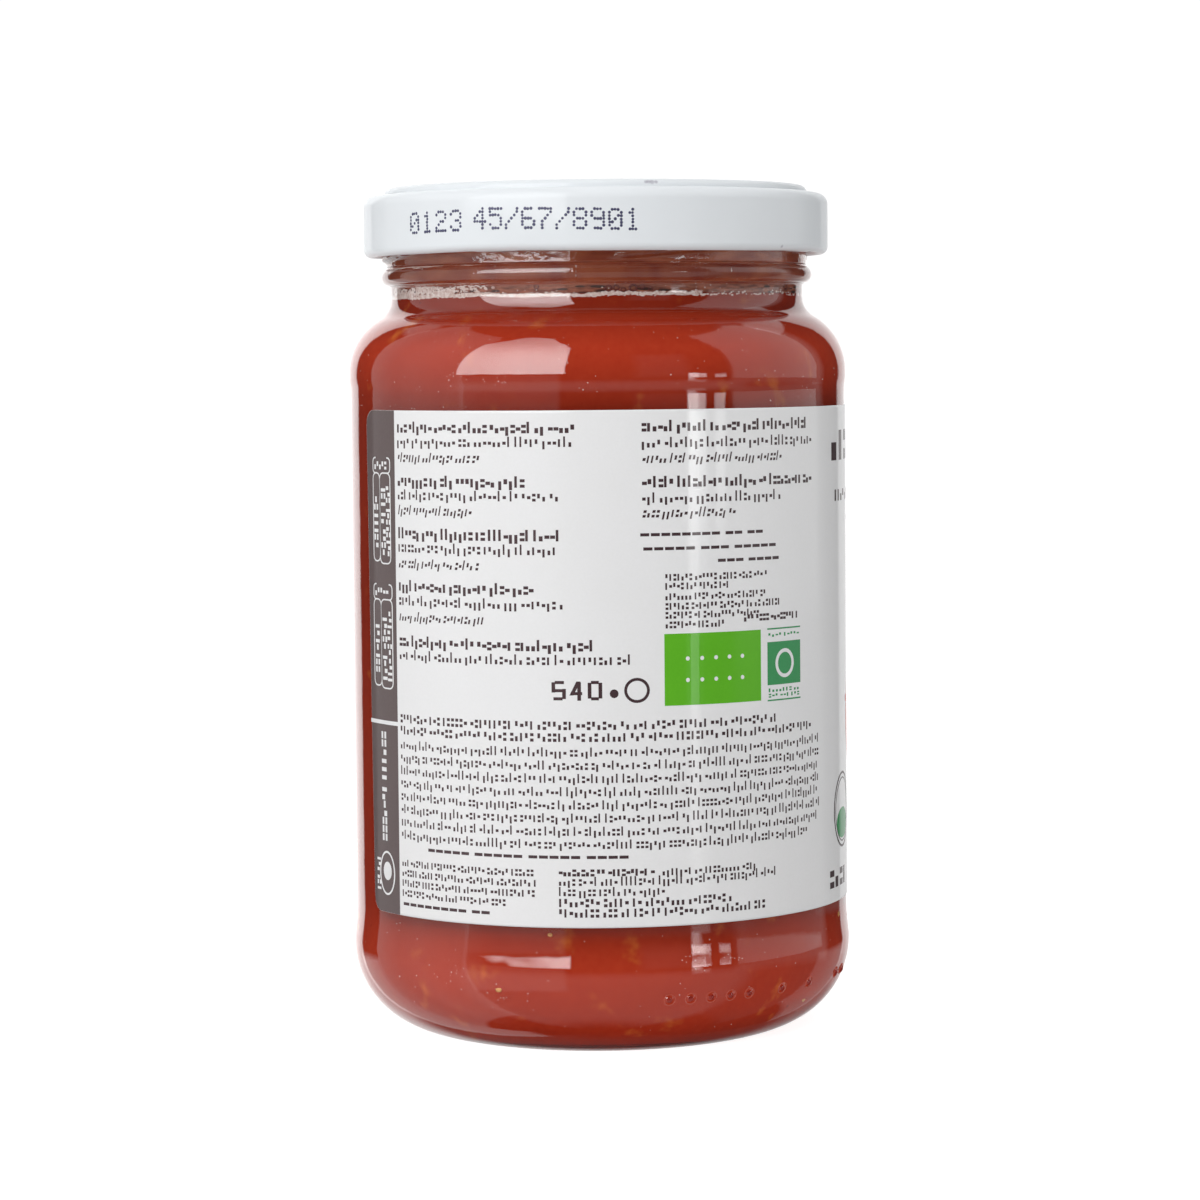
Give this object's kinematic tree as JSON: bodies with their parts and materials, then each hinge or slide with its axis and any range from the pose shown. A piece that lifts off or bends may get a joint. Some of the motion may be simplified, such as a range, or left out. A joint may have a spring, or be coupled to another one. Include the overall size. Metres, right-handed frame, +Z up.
{
  "type": "jar of tomato pulp",
  "caption": "Round glass jar filled with tomato pulp, closed by a white twist-off lid and wrapped most of the way round by a printed paper label.",
  "frame": {"origin": "centre of the foot ring, in the plane that the jar stands on", "axes": "+Z up along the jar's axis; -Y towards the side where the label's text panels show; +X to the right of it"},
  "size_m": [0.0712, 0.0712, 0.1196],
  "materials": {
    "glass": "clear, glossy",
    "lid_enamel": "glossy white enamel",
    "label_paper": "smooth, slightly glossy printed paper",
    "pulp": "wet, smooth tomato pulp"
  },
  "bodies": {
    "root": {"glass_jar": "glass", "lid": "lid_enamel", "label": "label_paper", "tomato_pulp": "pulp"}
  },
  "joints": []
}
